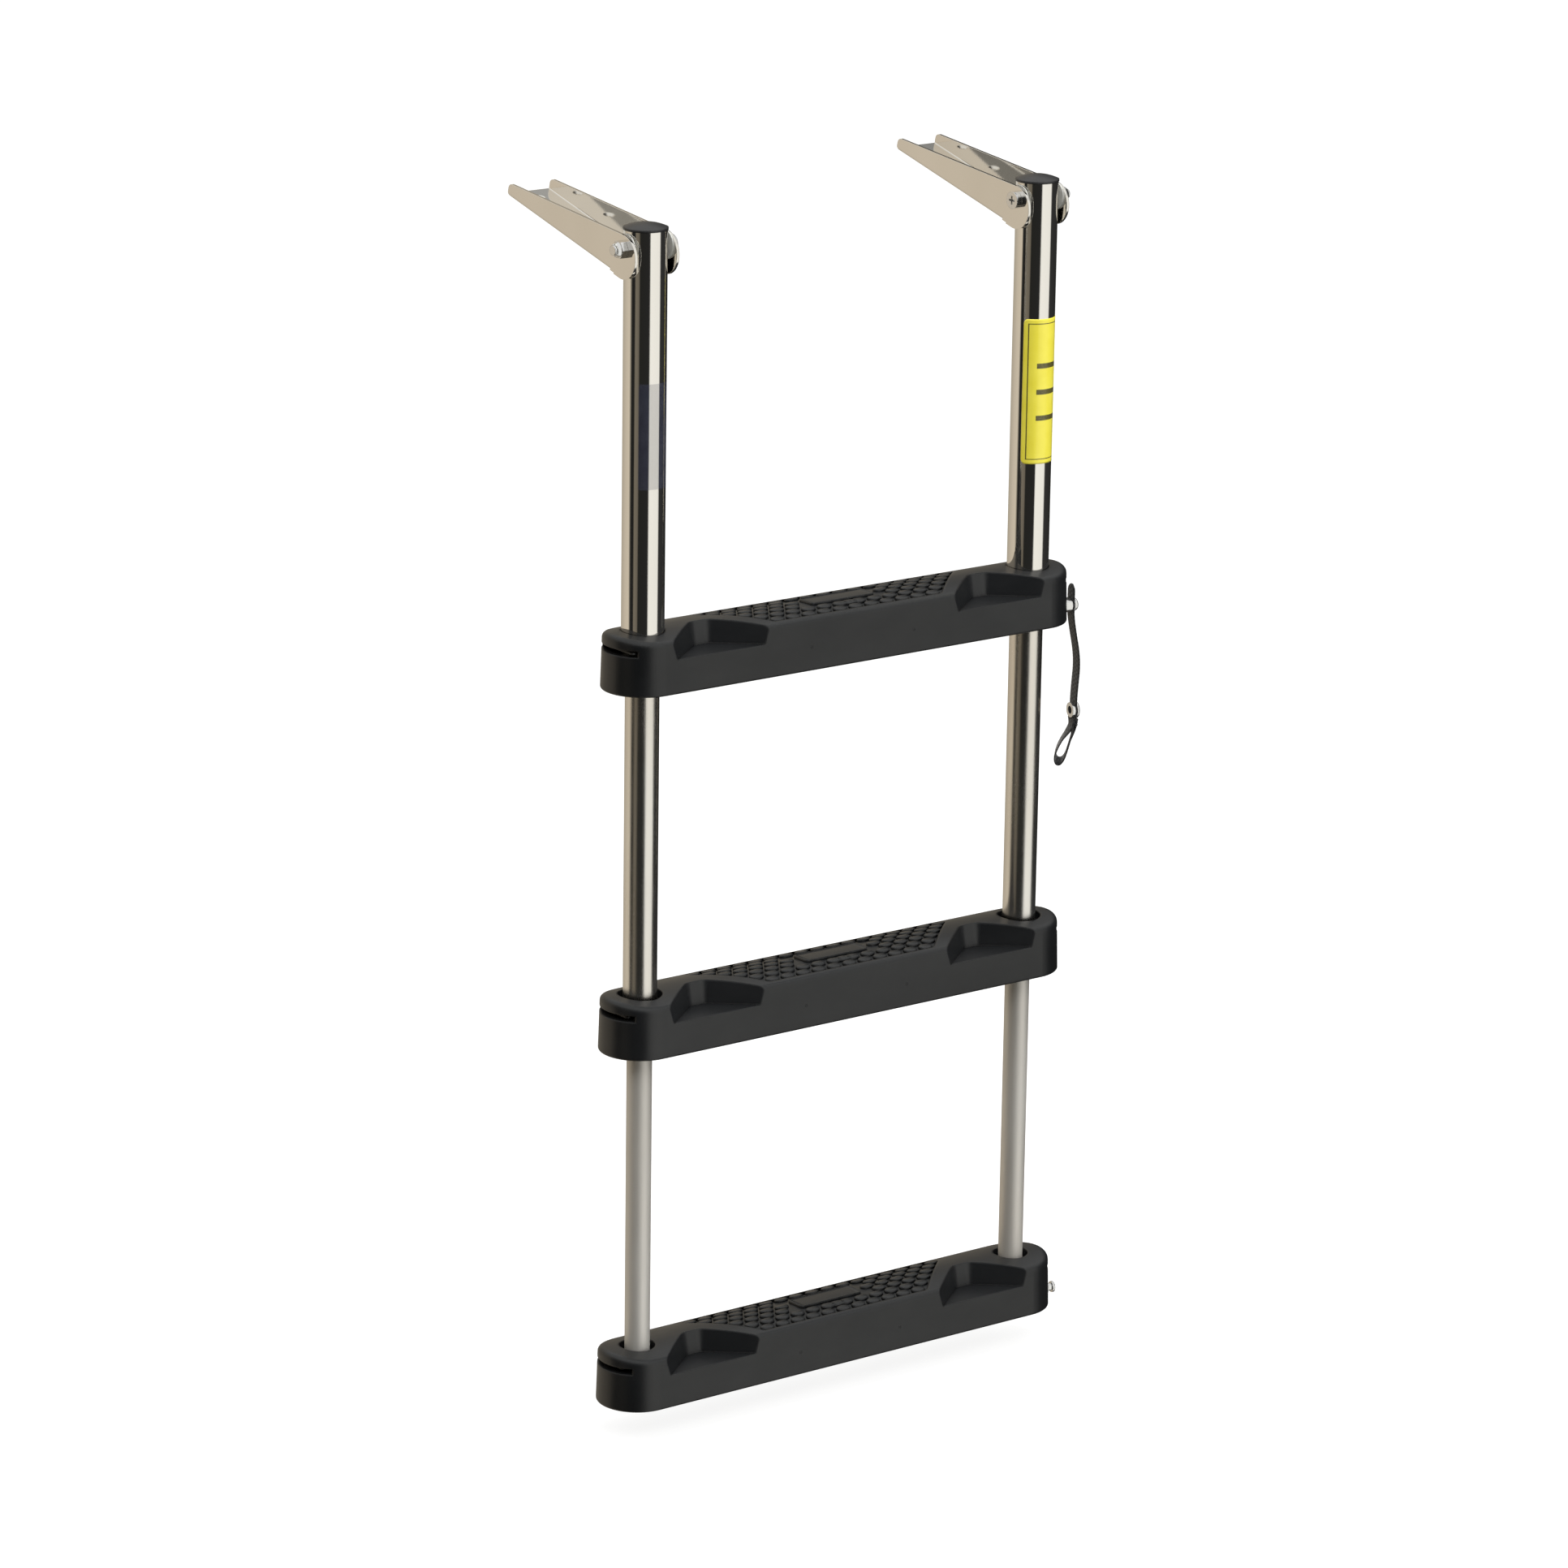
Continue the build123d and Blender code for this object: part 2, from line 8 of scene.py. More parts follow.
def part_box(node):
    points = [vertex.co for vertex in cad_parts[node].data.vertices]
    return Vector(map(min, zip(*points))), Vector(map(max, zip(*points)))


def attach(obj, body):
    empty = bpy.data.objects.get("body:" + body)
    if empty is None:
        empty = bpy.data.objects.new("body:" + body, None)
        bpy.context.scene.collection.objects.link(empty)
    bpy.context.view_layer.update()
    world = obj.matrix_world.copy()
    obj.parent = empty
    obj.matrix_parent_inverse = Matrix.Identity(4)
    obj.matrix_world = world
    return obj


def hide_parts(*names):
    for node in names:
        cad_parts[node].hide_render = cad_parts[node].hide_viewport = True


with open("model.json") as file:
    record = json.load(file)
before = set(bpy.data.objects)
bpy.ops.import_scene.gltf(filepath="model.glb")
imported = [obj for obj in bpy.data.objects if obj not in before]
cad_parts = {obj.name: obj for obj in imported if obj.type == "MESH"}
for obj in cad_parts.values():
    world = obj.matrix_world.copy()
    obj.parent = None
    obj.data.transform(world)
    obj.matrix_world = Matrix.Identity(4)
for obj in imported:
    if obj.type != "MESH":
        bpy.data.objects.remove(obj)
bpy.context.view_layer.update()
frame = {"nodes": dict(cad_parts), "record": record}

# Telescoping boat boarding ladder.  Metres, in the frame of the CAD: the origin is on the hinge
# axis, +X along the steps, +Y towards the boat, +Z up the tubes.
MM = 0.001


# Places, read from the frame -----------------------------------------------------------------

UNDERSIDE = {name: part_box(f"{name}_step")[0].z for name in ("upper", "middle", "lower")}
BODY = {name: f"{name}_section" for name in UNDERSIDE}
tube_low, tube_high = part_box("upper_tube_right")
step_low, step_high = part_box("lower_step")
TUBE_X = (tube_low.x + tube_high.x) / 2
TUBE_R = (tube_high.x - tube_low.x) / 2
STEP_R = (step_high.y - step_low.y) / 2
CREST = step_high.z - step_low.z
CROWN_R = 120 * MM          # of the step's top, seen from its end
STEP_DRAFT = math.radians(1.75)
BOLT_R = 4 * MM
TURN = 2 * math.pi


# Nodes ---------------------------------------------------------------------------------------

class Nodes:
    """Short ways to add nodes to a node tree."""

    def __init__(self, tree):
        self.tree = tree

    def add(self, kind, links=(), **settings):
        node = self.tree.nodes.new(kind)
        for name, value in settings.items():
            if name == "values":
                for socket, number in value.items():
                    node.inputs[socket].default_value = number
            else:
                setattr(node, name, value)
        for socket, source in dict(links).items():
            self.tree.links.new(source, node.inputs[socket])
        return node

    def place(self, scale=(1, 1, 1)):
        """Object coordinates, which are the frame's own on every CAD node, stretched."""
        coords = self.add("ShaderNodeTexCoord")
        links = {"Vector": coords.outputs["Object"]}
        return self.add("ShaderNodeMapping", links, values={"Scale": scale}).outputs["Vector"]

    def noise(self, vector, scale, detail=4.0, rough=0.55):
        node = self.add(
            "ShaderNodeTexNoise", {"Vector": vector},
            values={"Scale": scale, "Detail": detail, "Roughness": rough},
        )
        return node.outputs["Fac"]

    def ramp(self, value, stops):
        """Colour along stops, each a place from 0 to 1 and its colour."""
        node = self.add("ShaderNodeValToRGB", {"Fac": value})
        elements = node.color_ramp.elements
        while len(elements) < len(stops):
            elements.new(0.5)
        for element, (place, colour) in zip(elements, stops):
            element.position, element.color = place, (*colour, 1)
        return node.outputs["Color"]

    def grey(self, value, low, high, start=0.3, end=0.7):
        return self.ramp(value, [(start, (low,) * 3), (end, (high,) * 3)])

    def feed(self, socket, source):
        """Links a socket to another node, or sets it to a number or colour."""
        if isinstance(source, (int, float, tuple)):
            socket.default_value = source
        else:
            self.tree.links.new(source, socket)

    def math(self, operation, *sources):
        node = self.add("ShaderNodeMath", operation=operation)
        for socket, source in zip(node.inputs, sources):
            self.feed(socket, source)
        return node.outputs[0]

    def mix(self, factor, a, b, blend="MIX"):
        node = self.add("ShaderNodeMix", data_type="RGBA", blend_type=blend)
        for place, source in ((0, factor), (6, a), (7, b)):     # the colour sockets are 6 and 7
            self.feed(node.inputs[place], source)
        return node.outputs[2]

    def bump(self, height, strength, distance, normal=None):
        links = {"Height": height}
        if normal is not None:
            links["Normal"] = normal
        node = self.add(
            "ShaderNodeBump", links, values={"Strength": strength, "Distance": distance}
        )
        return node.outputs["Normal"]

    def soft_edge(self, radius):
        """Normals that round the sharp edges of the mesh by a radius in millimetres."""
        values = {"Radius": radius * MM}
        return self.add("ShaderNodeBevel", samples=4, values=values).outputs["Normal"]


class Surface(Nodes):
    """A material with a Principled shader, whose plain values are given by name."""

    def __init__(self, name, **values):
        self.material = bpy.data.materials.new(name)
        self.material.use_nodes = True
        super().__init__(self.material.node_tree)
        self.shader = self.tree.nodes["Principled BSDF"]
        for socket, value in values.items():
            self.shader.inputs[socket.replace("_", " ")].default_value = value

    def drive(self, socket, source):
        self.tree.links.new(source, self.shader.inputs[socket])


# Materials -----------------------------------------------------------------------------------

def polished_steel():
    """Mirror-polished stainless: faint buffing lines, smudges and a warm tint that drifts."""
    g = Surface("polished_steel", Metallic=1.0, IOR=2.5)
    tint = g.noise(g.place((6, 6, 2)), 1.0, 3)
    g.drive("Base Color", g.ramp(tint, [(0.35, (0.80, 0.775, 0.73)), (0.65, (0.86, 0.84, 0.80))]))
    smudge = g.noise(g.place((1, 1, 0.35)), 38.0, 6, 0.6)
    g.drive("Roughness", g.grey(smudge, 0.035, 0.10, 0.42, 0.72))
    lines = g.noise(g.place((1400, 1400, 12)), 1.0, 3)
    g.drive("Normal", g.bump(lines, 0.03, 0.0004, g.soft_edge(0.8)))
    return g.material


def satin_steel(name, tone, low, high, metal=1.0):
    """Drawn tube with a satin finish, its lines along the tube."""
    g = Surface(name, Metallic=metal, IOR=2.5)
    tint = g.noise(g.place((8, 8, 3)), 1.0, 3)
    light, warm = Vector((0.80, 0.78, 0.74)) * tone, Vector((0.74, 0.70, 0.64)) * tone
    g.drive("Base Color", g.ramp(tint, [(0.35, warm), (0.65, light)]))
    streaks = g.noise(g.place((2200, 2200, 9)), 1.0, 4)
    rub = g.noise(g.place((1, 1, 0.5)), 30.0, 5)
    g.drive("Roughness", g.math("ADD", g.grey(rub, low, high), g.math("MULTIPLY", streaks, 0.07)))
    g.drive("Normal", g.bump(streaks, 0.10, 0.0003))
    return g.material


def bright_fastener():
    """Machined and tumbled fastener steel."""
    g = Surface("fastener_steel", Metallic=1.0, IOR=2.5)
    grain = g.noise(g.place(), 900.0, 4)
    g.drive("Base Color", g.grey(grain, 0.70, 0.84))
    g.drive("Roughness", g.grey(g.noise(g.place(), 160.0, 4), 0.10, 0.24))
    g.drive("Normal", g.bump(grain, 0.12, 0.0002, g.soft_edge(0.7)))
    return g.material


def spring_steel():
    """Blackened spring steel."""
    g = Surface("clip_steel", Metallic=0.6, IOR=2.0)
    grain = g.noise(g.place((40, 900, 900)), 1.0, 4)
    g.drive("Base Color", g.grey(grain, 0.030, 0.055))
    g.drive("Roughness", g.grey(grain, 0.38, 0.50))
    g.drive("Normal", g.bump(grain, 0.1, 0.0002))
    return g.material


def moulded_plastic(name, dark, light, rough):
    """Moulded polymer: fine grain, flow marks, rubbed places, soft edges and painted shade that
    darkens its crevices.
    """
    g = Surface(name, IOR=1.5, Specular_IOR_Level=0.5)
    flow = g.noise(g.place((3, 14, 14)), 1.0, 4)
    speck = g.noise(g.place(), 1500.0, 3)
    base = g.ramp(flow, [(0.3, dark), (0.7, light)])
    dust = g.grey(g.noise(g.place(), 620.0, 5, 0.7), 0.0, 0.25, 0.68, 0.80)
    dusty = g.mix(dust, base, tuple(min(1, 2.0 * c) for c in light) + (1,))
    # Painted shade: an ambient occlusion mask darkens the base colour in crevices and recesses and
    # dims the specular there, where shade falls
    painted_shade_ao = g.add("ShaderNodeAmbientOcclusion", samples=6, values={"Distance": 4.5 * MM})
    reach = g.grey(painted_shade_ao.outputs["AO"], 0.04, 1.0, 0.40, 0.85)
    g.drive("Base Color", g.mix(1.0, dusty, reach, "MULTIPLY"))
    g.drive("Specular IOR Level", g.math("MULTIPLY", reach, 0.5))
    rub = g.noise(g.place((5, 9, 9)), 3.0, 6, 0.65)
    g.drive("Roughness", g.grey(rub, rough - 0.05, rough + 0.06))
    g.drive("Normal", g.bump(speck, 0.12, 0.0003, g.bump(flow, 0.05, 0.0008, g.soft_edge(2.2))))
    return g.material


def clear_nylon():
    """Milky, slightly see-through washer and insert nylon."""
    g = Surface(
        "clear_nylon", IOR=1.53, Subsurface_Weight=0.35, Transmission_Weight=0.35,
        Subsurface_Radius=(0.004, 0.004, 0.0035),
    )
    cloud = g.noise(g.place(), 260.0, 4)
    g.drive("Base Color", g.ramp(cloud, [(0.3, (0.74, 0.74, 0.70)), (0.7, (0.86, 0.86, 0.83))]))
    g.drive("Roughness", g.grey(cloud, 0.32, 0.46))
    g.drive("Normal", g.bump(g.noise(g.place(), 1200.0, 3), 0.1, 0.0002))
    return g.material


def clear_film():
    """Thin blue-tinted protective film with a matt, slightly lifted surface."""
    g = Surface("clear_film", IOR=1.45, Alpha=0.09)
    ripple = g.noise(g.place((1, 1, 0.5)), 140.0, 4)
    g.drive("Base Color", g.ramp(ripple, [(0.3, (0.08, 0.09, 0.19)), (0.7, (0.15, 0.165, 0.28))]))
    g.drive("Roughness", g.grey(ripple, 0.10, 0.30))
    g.drive("Normal", g.bump(ripple, 0.25, 0.0006))
    return g.material


def webbing():
    """Woven strap: two slanting sets of ribs that cross, from the piece's own UVs in metres."""
    g = Surface("black_webbing", IOR=1.5, Sheen_Weight=0.35, Sheen_Roughness=0.4)
    uv = g.add("ShaderNodeTexCoord").outputs["UV"]
    ribs = []
    for slant in (540.0, -540.0):
        mapping = g.add("ShaderNodeMapping", {"Vector": uv}, values={"Scale": (310.0, slant, 0.0)})
        wave = g.add(
            "ShaderNodeTexWave", {"Vector": mapping.outputs["Vector"]},
            wave_type="BANDS", bands_direction="DIAGONAL",
            values={"Scale": 0.30, "Distortion": 0.3, "Detail": 1.0},
        )
        ribs.append(wave.outputs["Fac"])
    weave = g.math("MULTIPLY", g.math("ADD", *ribs), 0.5)
    fuzz = g.noise(g.place(), 2400.0, 4)
    height = g.math("ADD", g.math("MULTIPLY", weave, 0.8), g.math("MULTIPLY", fuzz, 0.3))
    # Painted shade: the base colour follows the height of the weave, darker in its low grooves and
    # lighter on its raised ribs
    dark, light = (0.008, 0.008, 0.009), (0.045, 0.046, 0.05)
    g.drive("Base Color", g.ramp(height, [(0.25, dark), (0.9, light)]))
    g.drive("Roughness", g.grey(fuzz, 0.62, 0.85))
    g.drive("Normal", g.bump(height, 0.6, 0.0005))
    return g.material


def thread_fibre():
    """Twisted dark sewing thread."""
    g = Surface("stitch_thread", IOR=1.5, Sheen_Weight=0.2)
    twist = g.noise(g.place((900, 900, 900)), 1.0, 3)
    g.drive("Base Color", g.grey(twist, 0.02, 0.06))
    g.drive("Roughness", g.grey(twist, 0.5, 0.7))
    g.drive("Normal", g.bump(twist, 0.5, 0.0003))
    return g.material


def printed_label():
    """Yellow vinyl with a printed rule and bars, from UVs that run 0 to 1."""
    g = Surface("label_yellow", IOR=1.5, Coat_Weight=0.4, Coat_Roughness=0.12)
    uv = g.add("ShaderNodeTexCoord").outputs["UV"]
    split = g.add("ShaderNodeSeparateXYZ", {"Vector": uv})
    across, up = split.outputs["X"], split.outputs["Y"]

    def within(value, low, high):
        return g.math(
            "MULTIPLY", g.math("GREATER_THAN", value, low), g.math("LESS_THAN", value, high)
        )

    def block(left, right, low, high):
        return g.math("MULTIPLY", within(across, left, right), within(up, low, high))

    # a plain rule near the edge and three equal bars: no words, signs or pictures
    ink = g.math("SUBTRACT", block(0.08, 0.92, 0.030, 0.970), block(0.10, 0.90, 0.036, 0.964))
    for low in (0.30, 0.48, 0.66):
        ink = g.math("MAXIMUM", ink, block(0.24, 0.76, low, low + 0.035))
    print_grain = g.noise(g.place(), 900.0, 4)
    soft = g.math("MULTIPLY", ink, g.grey(print_grain, 0.86, 0.97))
    mottle = g.noise(g.place(), 60.0, 4)
    yellow = g.ramp(mottle, [(0.3, (0.93, 0.82, 0.065)), (0.7, (0.98, 0.88, 0.10))])
    g.drive("Base Color", g.mix(soft, yellow, (0.03, 0.028, 0.022, 1)))
    g.drive("Roughness", g.grey(mottle, 0.30, 0.42))
    g.drive("Normal", g.bump(print_grain, 0.05, 0.0002))
    return g.material


def pale_floor():
    """Matt pale paper that glows a little, so that it stays near white."""
    return Surface(
        "floor", Roughness=0.9, Specular_IOR_Level=0.0, Base_Color=(0.30, 0.30, 0.30, 1),
        Emission_Color=(1, 1, 1, 1), Emission_Strength=0.86,
    ).material


MATERIALS = {
    "polished_steel": polished_steel(),
    "satin_steel": satin_steel("satin_steel", 1.0, 0.17, 0.25),
    "fastener_steel": bright_fastener(),
    "clip_steel": spring_steel(),
    "clear_nylon": clear_nylon(),
    "cap_plastic": moulded_plastic(
        "cap_plastic", (0.016, 0.016, 0.017), (0.024, 0.024, 0.026), 0.36
    ),
    "black_plastic": moulded_plastic(
        "black_plastic", (0.0070, 0.0076, 0.0086), (0.0125, 0.0133, 0.0147), 0.35
    ),
    "guide_plastic": moulded_plastic("guide_plastic", (0.62, 0.62, 0.59), (0.70, 0.70, 0.67), 0.42),
    "black_webbing": webbing(),
    "label_yellow": printed_label(),
    "clear_film": clear_film(),
}


THIN_TUBES = ("lower_tube_left", "lower_tube_right")


def dress_nodes():
    """Gives every CAD node the material of its slot; the thinnest tubes have a duller finish."""
    dull = satin_steel("dull_satin_steel", 0.96, 0.50, 0.60, 0.54)
    for part in frame["record"]["subparts"]:
        node = frame["nodes"][part["node"]]
        node.data.materials.clear()
        thin = part["node"] in THIN_TUBES
        node.data.materials.append(dull if thin else MATERIALS[part["material_slot"]])


# Pieces --------------------------------------------------------------------------------------

def add_piece(name, vertices, faces, body, slot, uvs=None, material=None):
    """A smooth-shaded mesh piece that rides on a body.  uvs gives one pair for each vertex."""
    mesh = bpy.data.meshes.new(name)
    mesh.from_pydata([tuple(v) for v in vertices], [], faces)
    mesh.update()
    if uvs is not None:
        layer = mesh.uv_layers.new(name="UVMap")
        for loop in mesh.loops:
            layer.data[loop.index].uv = uvs[loop.vertex_index]
    mesh.polygons.foreach_set("use_smooth", [True] * len(mesh.polygons))
    piece = bpy.data.objects.new(name, mesh)
    bpy.context.scene.collection.objects.link(piece)
    mesh.materials.append(material or MATERIALS[slot])
    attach(piece, body)
    return piece


def crown(y, base):
    """Height of the crowned step top at a depth y."""
    return base + CREST - CROWN_R + math.sqrt(CROWN_R * CROWN_R - y * y)


# The tread: rows of scale-like studs round a plaque, in the sunk field
FIELD_FRONT, FIELD_BACK = 85 * MM, 140 * MM       # half its length at the front and back edge
FIELD_DEPTH = 54 * MM
STUD_PITCH, ROW_PITCH = 15.8 * MM, 9.0 * MM
STUD_ROWS, STUD_COLUMNS = 6, 12
STUD_LONG, STUD_WIDE = 13.4 * MM, 8.1 * MM
STUD_SLANT = 0.61           # of a pitch, from one row to the next
STUD_POWER = 0.9            # 1 is an ellipse, less is fuller
STUD_SIDES = 24
STUD_CLEAR = 0.42           # of a stud's width: rows nearer to the plaque than this break off at it
PLAQUE_GAP, FIELD_GAP = 0.8 * MM, 1.5 * MM
PLAQUE_LONG, PLAQUE_DEEP, PLAQUE_CORNER, PLAQUE_Y = 64 * MM, 20 * MM, 3 * MM, 4 * MM

# Sides of a raised shape: how far in from its outline, and how high above the crown
STUD_LAYERS = ((0.0, -2.2 * MM), (0.25 * MM, -0.6 * MM), (0.55 * MM, -0.2 * MM), (1.1 * MM, 0.0))
PLAQUE_LAYERS = (
    (0.0, -2.2 * MM), (0.2 * MM, 0.0), (0.5 * MM, 0.25 * MM), (1.3 * MM, 0.25 * MM),
    (1.6 * MM, 0.0), (1.9 * MM, -0.35 * MM), (4.5 * MM, -0.35 * MM),
)


def field_edge(y):
    """Half the length of the tread field at a depth y."""
    share = y / FIELD_DEPTH + 0.5
    return FIELD_FRONT + share * (FIELD_BACK - FIELD_FRONT)


def stud_outline(x, y, side):
    """An ellipse with full sides, drawn from the end that faces the side of the step."""
    points = []
    for i in range(STUD_SIDES):
        t = TURN * i / STUD_SIDES
        c, s = math.cos(t), math.sin(t)
        px = math.copysign(abs(c) ** STUD_POWER, c) * STUD_LONG / 2
        py = math.copysign(abs(s) ** STUD_POWER, s) * STUD_WIDE / 2
        points.append((x + side * px, y + py))
    return points


def stud_places():
    """Side and centre of each stud; the diagonals run along the slanted field edge."""
    for row in range(STUD_ROWS):
        y = (row - (STUD_ROWS - 1) / 2) * ROW_PITCH
        shift = (STUD_SLANT * row) % 1.0
        beside_plaque = abs(y - PLAQUE_Y) < PLAQUE_DEEP / 2 + STUD_WIDE * STUD_CLEAR
        start = 0.5 * STUD_PITCH
        if beside_plaque:
            start = PLAQUE_LONG / 2 + STUD_LONG / 2 + PLAQUE_GAP
        end = field_edge(y) - STUD_LONG / 2 - FIELD_GAP
        for column in range(STUD_COLUMNS):
            x = (column + shift) * STUD_PITCH
            if start <= x <= end:
                yield 1, x, y
                yield -1, -x, y
        if not beside_plaque:
            yield 1, 0.0, y


def ring_faces(rings, count):
    """Quads between rings of count vertices each, one ring after another."""
    faces = []
    for a in range(0, (rings - 1) * count, count):
        for i in range(count):
            j = (i + 1) % count
            faces.append((a + i, a + j, a + count + j, a + count + i))
    return faces


def loft_pad(outline, base, layers):
    """Vertices and faces of a raised pad: the outline shrinks about its centre at each layer."""
    cx = sum(p[0] for p in outline) / len(outline)
    cy = sum(p[1] for p in outline) / len(outline)
    vertices, count = [], len(outline)
    for shrink, lift in layers:
        for x, y in outline:
            keep = max(0.0, 1 - shrink / math.hypot(x - cx, y - cy))
            px, py = cx + (x - cx) * keep, cy + (y - cy) * keep
            vertices.append((px, py, crown(py, base) + lift))
    faces = ring_faces(len(layers), count)
    top = len(vertices)
    vertices.append((cx, cy, crown(cy, base) + layers[-1][1]))
    last = (len(layers) - 1) * count
    faces += [(last + i, last + (i + 1) % count, top) for i in range(count)]
    return vertices, faces


def gather(groups):
    """Joins lists of vertices and faces into one."""
    vertices, faces = [], []
    for some_vertices, some_faces in groups:
        start = len(vertices)
        vertices += some_vertices
        faces += [tuple(start + i for i in face) for face in some_faces]
    return vertices, faces


def rounded_rectangle(width, depth, radius, y, steps=6):
    """Outline of a rectangle with round corners, centred at a depth y."""
    points = []
    for quarter, (sx, sy) in enumerate(((1, 1), (-1, 1), (-1, -1), (1, -1))):
        for i in range(steps + 1):
            t = TURN / 4 * (quarter + i / steps)
            points.append((
                sx * (width / 2 - radius) + radius * math.cos(t),
                y + sy * (depth / 2 - radius) + radius * math.sin(t),
            ))
    return points


def make_tread(name):
    base = UNDERSIDE[name]
    pads = []
    for side, x, y in stud_places():
        outline = stud_outline(x, y, side)
        if side < 0:
            outline.reverse()       # so that its faces look outwards too
        pads.append(loft_pad(outline, base, STUD_LAYERS))
    add_piece(f"tread_studs_{name}", *gather(pads), BODY[name], "black_plastic")

    # plain badge plate with a rim, where nothing is written
    rim = rounded_rectangle(PLAQUE_LONG, PLAQUE_DEEP, PLAQUE_CORNER, PLAQUE_Y)
    plate = loft_pad(rim, base, PLAQUE_LAYERS)
    add_piece(f"tread_plate_{name}", *plate, BODY[name], "black_plastic")


# Moulding marks: small pips on the long faces, where the ejector pins stood
PIP_X, PIP_LEVEL, PIP_SIDES = 52 * MM, 20 * MM, 20
PIP_RINGS = ((1.3, 0.0), (1.2, 0.18), (0.9, 0.26), (0.5, 0.2))     # radius and height, millimetres


def make_pips(name):
    z = UNDERSIDE[name] + PIP_LEVEL
    reach = STEP_R - PIP_LEVEL * math.tan(STEP_DRAFT)
    turns = [TURN * i / PIP_SIDES for i in range(PIP_SIDES)]
    faces = ring_faces(len(PIP_RINGS), PIP_SIDES)
    faces.append(tuple(range((len(PIP_RINGS) - 1) * PIP_SIDES, len(PIP_RINGS) * PIP_SIDES)))
    pips = []
    for face in (-1, 1):
        for x in (-PIP_X, PIP_X):
            vertices = [
                (x + r * MM * math.cos(t), face * (reach + out * MM), z + r * MM * math.sin(t))
                for r, out in PIP_RINGS for t in turns
            ]
            pips.append((vertices, faces if face < 0 else [f[::-1] for f in faces]))
    add_piece(f"ejector_marks_{name}", *gather(pips), BODY[name], "black_plastic")


# Label and film, thin curved skins on the upper tubes: where they start and how far they go round,
# in degrees from +X about the tube, how far they stand off it, and the radius of their corners
LABEL = (203.7, 164.0, 0.15 * MM, 4 * MM)
FILM = (219.6, 131.0, 0.1 * MM, 2 * MM)
SKIN_COLUMNS, SKIN_ROWS = 64, 96


def curved_skin(name, node, side, start, sweep, lift, corner, slot):
    """A sheet with round corners, wrapped on an upper tube in the place of a CAD node."""
    low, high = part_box(node)
    tall, radius = high.z - low.z, TUBE_R + lift
    wide = math.radians(sweep) * radius
    vertices, uvs, faces = [], [], []
    for i in range(SKIN_COLUMNS + 1):
        u = i / SKIN_COLUMNS
        angle = math.radians(start + sweep * u)
        into_corner = max(0.0, corner - min(u, 1 - u) * wide)
        inset = corner - math.sqrt(corner * corner - into_corner * into_corner)
        for j in range(SKIN_ROWS + 1):
            z = low.z + inset + j / SKIN_ROWS * (tall - 2 * inset)
            x = side * TUBE_X + radius * math.cos(angle)
            vertices.append((x, radius * math.sin(angle), z))
            uvs.append((u, (z - low.z) / tall))
    for i in range(SKIN_COLUMNS):
        for j in range(SKIN_ROWS):
            a, b = i * (SKIN_ROWS + 1) + j, (i + 1) * (SKIN_ROWS + 1) + j
            faces.append((a, b, b + 1, a + 1))
    piece = add_piece(name, vertices, faces, "upper_section", slot, uvs)
    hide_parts(node)
    thick = piece.modifiers.new("thickness", "SOLIDIFY")
    thick.thickness, thick.offset = lift * 0.8, -1


# Strap: woven band, sewn hand loop
STRAP_WIDE, STRAP_THICK = 12.7 * MM, 1.4 * MM
EDGE_THIN, EDGE_POWER = 0.55, 8         # the webbing thins by this share, only near its edges
RIPPLE, RIPPLE_PERIOD = 0.05 * MM, 3.0  # weave seen along its faces; the period is in rings
BAND_STEPS = 10
TAB_NARROWEST = 0.25                    # of the width, at the tip of the round tab
BAND_RINGS, LOOP_RINGS = 150, 140
UP = Vector((0, 0, 1))
FITTING_TURN = math.radians(-12)
OUT = Vector((math.cos(FITTING_TURN), math.sin(FITTING_TURN), 0))
ACROSS = UP.cross(OUT)
HANG = Vector((TUBE_X, 0, UNDERSIDE["upper"]))

# Millimetres, out from the tube axis and up from the underside of the upper step
SNAP_OUT = 45.8
SEAM_OUT = SNAP_OUT + 0.7               # middle of the band, where the loop is sewn to it
STRAP_END = -96.0
PLY = 1.45                              # from the middle of the band to each end of the loop
STITCH_OUT = SNAP_OUT + 2.95
STITCH = ((-0.9, -0.35), (-0.5, 0.0), (0.0, 0.05), (0.5, 0.0), (0.9, -0.35))   # run and rise
THREAD_RADIUS = 0.22 * MM


def at(out, up, across=0.0):
    """A point by the right-hand end of the upper step, in millimetres."""
    return HANG + OUT * out * MM + Vector((0, 0, up * MM)) + ACROSS * across * MM


def smooth_line(points, count):
    """Evenly spaced points on a smooth spline near the given points, and its length."""
    curve = bpy.data.curves.new("guide", "CURVE")
    curve.dimensions = "3D"
    spline = curve.splines.new("NURBS")
    spline.points.add(len(points) - 1)
    for target, point in zip(spline.points, points):
        target.co = (*point, 1)
    spline.order_u, spline.use_endpoint_u, spline.resolution_u = 3, True, 16
    holder = bpy.data.objects.new("guide", curve)
    mesh = bpy.data.meshes.new_from_object(holder)
    line = [v.co.copy() for v in mesh.vertices]
    bpy.data.meshes.remove(mesh)
    bpy.data.objects.remove(holder)
    bpy.data.curves.remove(curve)

    along = [0.0]
    for a, b in zip(line, line[1:]):
        along.append(along[-1] + (b - a).length)
    result, k = [], 0
    for i in range(count + 1):
        want = along[-1] * i / count
        while k < len(line) - 2 and along[k + 1] < want:
            k += 1
        share = (want - along[k]) / (along[k + 1] - along[k])
        result.append(line[k].lerp(line[k + 1], share))
    return result, along[-1]


def band_section():
    """Outline of the webbing cut across: pairs of width and thickness."""
    half_wide, half_thick = STRAP_WIDE / 2, STRAP_THICK / 2
    shares = [-1 + 2 * i / BAND_STEPS for i in range(BAND_STEPS + 1)]
    face = [(s * half_wide, half_thick * (1 - EDGE_THIN * abs(s) ** EDGE_POWER)) for s in shares]
    return face + [(w, -t) for w, t in reversed(face)]


